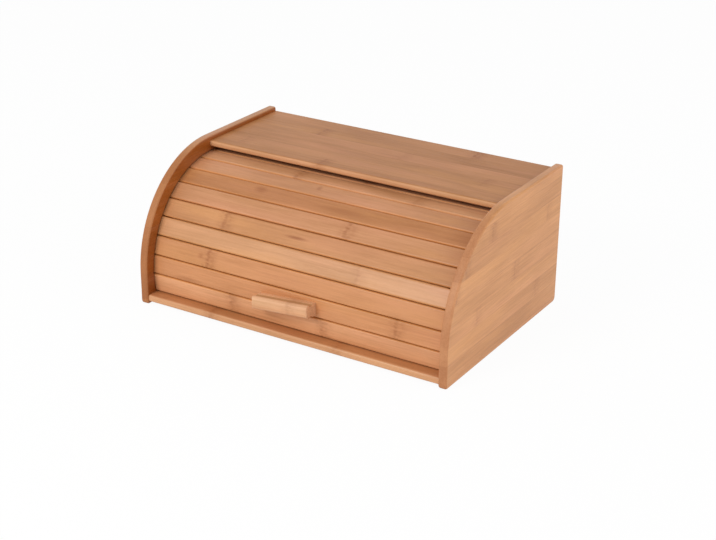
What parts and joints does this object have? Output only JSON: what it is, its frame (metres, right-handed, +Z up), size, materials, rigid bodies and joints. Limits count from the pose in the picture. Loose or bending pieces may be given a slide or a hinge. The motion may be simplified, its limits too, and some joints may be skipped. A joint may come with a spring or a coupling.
{
  "type": "bread box",
  "caption": "Bamboo bread box with curved side panels, closed by a roll-back tambour of wooden slats with a bar handle.",
  "frame": {"origin": "on the table, under the middle of the box", "axes": "+X to the right as seen from the front, -Y to the front where the tambour closes, +Z up"},
  "size_m": [0.4, 0.2683, 0.168],
  "materials": {
    "panel": "clear satin lacquer over laminated bamboo",
    "top_board": "clear satin lacquer over laminated bamboo",
    "bottom_board": "clear satin lacquer over laminated bamboo",
    "back_board": "clear satin lacquer over laminated bamboo",
    "slat": "clear satin lacquer over laminated bamboo",
    "handle": "clear satin lacquer over light wood",
    "dowel": "plain turned beech",
    "canvas": "plain woven cotton",
    "screw": "zinc plated"
  },
  "bodies": {
    "box": {"side_panel_left": "panel", "side_panel_right": "panel", "top_board": "top_board", "bottom_board": "bottom_board", "back_board": "back_board", "dowels_top_board": "dowel", "dowels_bottom_board": "dowel"},
    "tambour": {"slat_01": "slat", "slat_02": "slat", "slat_03": "slat", "slat_04": "slat", "slat_05": "slat", "slat_06": "slat", "slat_07": "slat", "slat_08": "slat", "slat_09": "slat", "slat_10": "slat", "slat_11": "slat", "canvas": "canvas", "handle": "handle", "handle_screws": "screw"}
  },
  "joints": [
    {"name": "tambour_roll", "type": "hinge", "parent": "box", "child": "tambour", "pos_m": [0, -0.0035, 0.0352], "axis": [-1, 0, 0], "range_deg": [0, 77.3]}
  ]
}
